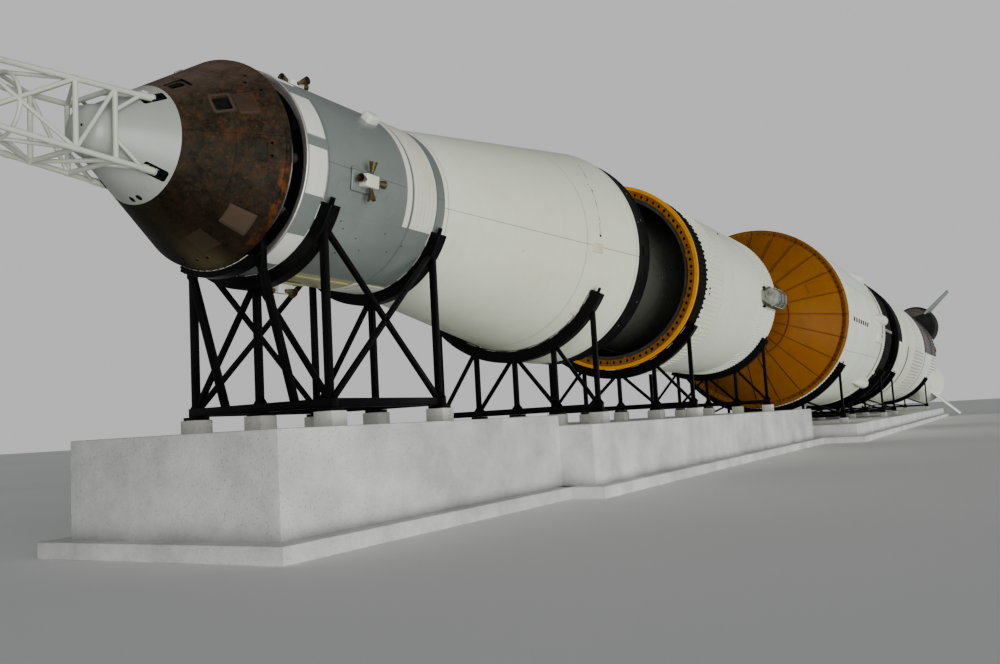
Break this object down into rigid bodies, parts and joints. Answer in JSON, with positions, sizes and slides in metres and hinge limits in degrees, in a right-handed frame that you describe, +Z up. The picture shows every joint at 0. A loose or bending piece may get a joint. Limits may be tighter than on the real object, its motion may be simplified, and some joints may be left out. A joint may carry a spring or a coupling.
{
  "type": "three-stage space rocket display model, 1:10 scale, lying on cradles",
  "caption": "Space rocket laid on its side in sections on steel cradles, with escape tower, crew cabin, stages and swivelling engines.",
  "frame": {"origin": "middle of the footprint, on the floor under the plinth", "axes": "+X from nose to tail along the rocket, +Z up"},
  "size_m": [11.8752, 1.3718, 1.3859],
  "materials": {
    "tower_paint": "satin",
    "cover_paint": "satin",
    "charred_shell": "matt",
    "grey_paint": "satin",
    "white_paint": "satin",
    "black_paint": "satin",
    "orange_paint": "satin",
    "silver": "brushed",
    "bell_metal": "heat-stained",
    "primer": "matt",
    "black_steel": "gloss",
    "concrete": "rough"
  },
  "bodies": {
    "root": {"escape_nose": "tower_paint", "escape_motor": "tower_paint", "escape_tower": "tower_paint", "apex_cover": "cover_paint", "cabin_shell": "charred_shell", "service_ring": "white_paint", "service_body": "grey_paint", "thruster_quad_1": "white_paint", "thruster_quad_2": "white_paint", "thruster_quad_3": "white_paint", "thruster_quad_4": "white_paint", "service_engine": "bell_metal", "adapter": "white_paint", "instrument_ring": "black_paint", "third_front_ring": "orange_paint", "third_front_dome": "primer", "third_barrel": "white_paint", "third_thrust_cone": "primer", "third_pod_1": "silver", "third_pod_2": "silver", "second_front_cover": "orange_paint", "second_barrel": "white_paint", "second_base": "black_paint", "second_engine_centre": "bell_metal", "first_barrel": "white_paint", "first_base": "white_paint", "first_fairing_1": "white_paint", "first_fairing_2": "white_paint", "first_fairing_3": "white_paint", "first_fairing_4": "white_paint", "first_engine_centre": "bell_metal", "cradle_capsule": "black_steel", "cradle_adapter": "black_steel", "cradle_third_front": "black_steel", "cradle_third_rear": "black_steel", "cradle_second_front": "black_steel", "cradle_second_rear": "black_steel", "cradle_first_front": "black_steel", "cradle_first_rear": "black_steel", "slab_front": "concrete", "slab": "concrete"},
    "cabin_hatch": {"cabin_hatch": "charred_shell"},
    "third_gimbal": {"third_gimbal": "silver"},
    "third_engine": {"third_engine": "bell_metal"},
    "second_gimbal_1": {"second_gimbal_1": "silver"},
    "second_engine_1": {"second_engine_1": "bell_metal"},
    "second_gimbal_2": {"second_gimbal_2": "silver"},
    "second_engine_2": {"second_engine_2": "bell_metal"},
    "second_gimbal_3": {"second_gimbal_3": "silver"},
    "second_engine_3": {"second_engine_3": "bell_metal"},
    "second_gimbal_4": {"second_gimbal_4": "silver"},
    "second_engine_4": {"second_engine_4": "bell_metal"},
    "first_gimbal_1": {"first_gimbal_1": "silver"},
    "first_engine_1": {"first_engine_1": "bell_metal"},
    "first_gimbal_2": {"first_gimbal_2": "silver"},
    "first_engine_2": {"first_engine_2": "bell_metal"},
    "first_gimbal_3": {"first_gimbal_3": "silver"},
    "first_engine_3": {"first_engine_3": "bell_metal"},
    "first_gimbal_4": {"first_gimbal_4": "silver"},
    "first_engine_4": {"first_engine_4": "bell_metal"}
  },
  "joints": [
    {"name": "hatch_hinge", "type": "hinge", "parent": "root", "child": "cabin_hatch", "pos_m": [-4.78965, 0.0392, 0.84049], "axis": [-0.8431, 0, -0.5378], "range_deg": [0, 100]},
    {"name": "third_gimbal_swing", "type": "hinge", "parent": "root", "child": "third_gimbal", "pos_m": [-1.38135, 0, 0.7], "axis": [0, 0, 1], "range_deg": [-7, 7]},
    {"name": "third_engine_tilt", "type": "hinge", "parent": "third_gimbal", "child": "third_engine", "pos_m": [-1.38135, 0, 0.7], "axis": [0, 1, 0], "range_deg": [-7, 7]},
    {"name": "second_gimbal_1_swing", "type": "hinge", "parent": "root", "child": "second_gimbal_1", "pos_m": [1.30065, -0.1888, 0.8888], "axis": [0, 0.7071, -0.7071], "range_deg": [-7, 7]},
    {"name": "second_engine_1_tilt", "type": "hinge", "parent": "second_gimbal_1", "child": "second_engine_1", "pos_m": [1.30065, -0.1888, 0.8888], "axis": [0, -0.7071, -0.7071], "range_deg": [-7, 7]},
    {"name": "second_gimbal_2_swing", "type": "hinge", "parent": "root", "child": "second_gimbal_2", "pos_m": [1.30065, 0.1888, 0.8888], "axis": [0, -0.7071, -0.7071], "range_deg": [-7, 7]},
    {"name": "second_engine_2_tilt", "type": "hinge", "parent": "second_gimbal_2", "child": "second_engine_2", "pos_m": [1.30065, 0.1888, 0.8888], "axis": [0, -0.7071, 0.7071], "range_deg": [-7, 7]},
    {"name": "second_gimbal_3_swing", "type": "hinge", "parent": "root", "child": "second_gimbal_3", "pos_m": [1.30065, 0.1888, 0.5112], "axis": [0, -0.7071, 0.7071], "range_deg": [-7, 7]},
    {"name": "second_engine_3_tilt", "type": "hinge", "parent": "second_gimbal_3", "child": "second_engine_3", "pos_m": [1.30065, 0.1888, 0.5112], "axis": [0, 0.7071, 0.7071], "range_deg": [-7, 7]},
    {"name": "second_gimbal_4_swing", "type": "hinge", "parent": "root", "child": "second_gimbal_4", "pos_m": [1.30065, -0.1888, 0.5112], "axis": [0, 0.7071, 0.7071], "range_deg": [-7, 7]},
    {"name": "second_engine_4_tilt", "type": "hinge", "parent": "second_gimbal_4", "child": "second_engine_4", "pos_m": [1.30065, -0.1888, 0.5112], "axis": [0, 0.7071, -0.7071], "range_deg": [-7, 7]},
    {"name": "first_gimbal_1_swing", "type": "hinge", "parent": "root", "child": "first_gimbal_1", "pos_m": [5.37765, -0.32668, 1.02668], "axis": [0, 0.7071, -0.7071], "range_deg": [-6, 6]},
    {"name": "first_engine_1_tilt", "type": "hinge", "parent": "first_gimbal_1", "child": "first_engine_1", "pos_m": [5.37765, -0.32668, 1.02668], "axis": [0, -0.7071, -0.7071], "range_deg": [-6, 6]},
    {"name": "first_gimbal_2_swing", "type": "hinge", "parent": "root", "child": "first_gimbal_2", "pos_m": [5.37765, 0.32668, 1.02668], "axis": [0, -0.7071, -0.7071], "range_deg": [-6, 6]},
    {"name": "first_engine_2_tilt", "type": "hinge", "parent": "first_gimbal_2", "child": "first_engine_2", "pos_m": [5.37765, 0.32668, 1.02668], "axis": [0, -0.7071, 0.7071], "range_deg": [-6, 6]},
    {"name": "first_gimbal_3_swing", "type": "hinge", "parent": "root", "child": "first_gimbal_3", "pos_m": [5.37765, 0.32668, 0.37332], "axis": [0, -0.7071, 0.7071], "range_deg": [-6, 6]},
    {"name": "first_engine_3_tilt", "type": "hinge", "parent": "first_gimbal_3", "child": "first_engine_3", "pos_m": [5.37765, 0.32668, 0.37332], "axis": [0, 0.7071, 0.7071], "range_deg": [-6, 6]},
    {"name": "first_gimbal_4_swing", "type": "hinge", "parent": "root", "child": "first_gimbal_4", "pos_m": [5.37765, -0.32668, 0.37332], "axis": [0, 0.7071, 0.7071], "range_deg": [-6, 6]},
    {"name": "first_engine_4_tilt", "type": "hinge", "parent": "first_gimbal_4", "child": "first_engine_4", "pos_m": [5.37765, -0.32668, 0.37332], "axis": [0, 0.7071, -0.7071], "range_deg": [-6, 6]}
  ]
}
